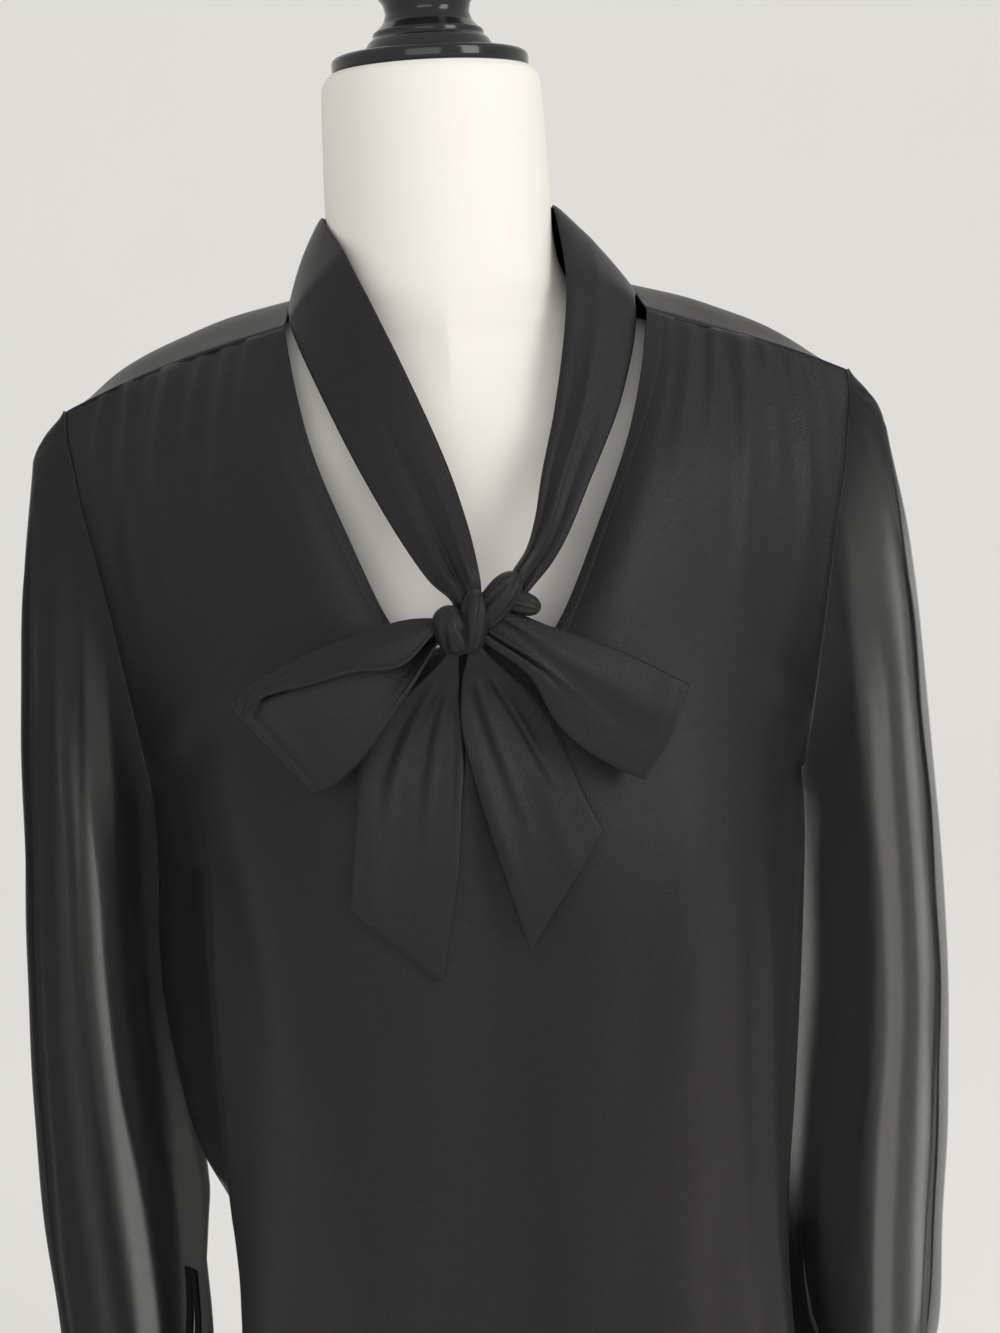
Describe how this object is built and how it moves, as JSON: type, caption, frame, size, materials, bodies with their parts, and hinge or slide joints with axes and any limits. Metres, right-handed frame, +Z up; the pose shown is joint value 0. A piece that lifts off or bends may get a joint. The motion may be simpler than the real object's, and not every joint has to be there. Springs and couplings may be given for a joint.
{
  "type": "tie neck blouse on dress form",
  "caption": "Tie neck blouse with a soft bow, sheer long sleeves and buttoned cuffs, worn on a limbless counter-top dress form.",
  "frame": {"origin": "on the surface that the form stands on, at the middle of its round base", "axes": "+Z up, the blouse faces -Y, its wearer's left is +X"},
  "size_m": [0.4927, 0.336, 1.0962],
  "materials": {
    "satin_backed_crepe": "opaque black crepe with a soft sheen",
    "sheer_chiffon": "sheer black chiffon",
    "form_covering": "smooth off-white stretch covering",
    "turned_wood_lacquer": "glossy black lacquer on turned wood",
    "button_resin": "polished black resin"
  },
  "bodies": {
    "root": {"back": "satin_backed_crepe", "bow_knot_cross": "satin_backed_crepe", "bow_knot_wrap": "satin_backed_crepe", "bow_loop_left": "satin_backed_crepe", "bow_loop_right": "satin_backed_crepe", "bow_tail_left": "satin_backed_crepe", "bow_tail_right": "satin_backed_crepe", "cuff_button_left": "button_resin", "cuff_button_right": "button_resin", "cuff_left": "satin_backed_crepe", "cuff_right": "satin_backed_crepe", "form_base": "turned_wood_lacquer", "form_neck_cap": "turned_wood_lacquer", "form_pole": "turned_wood_lacquer", "form_torso": "form_covering", "front": "satin_backed_crepe", "neck_band": "satin_backed_crepe", "sleeve_left": "sheer_chiffon", "sleeve_right": "sheer_chiffon", "slit_binding_left": "satin_backed_crepe", "slit_binding_right": "satin_backed_crepe"}
  },
  "joints": []
}
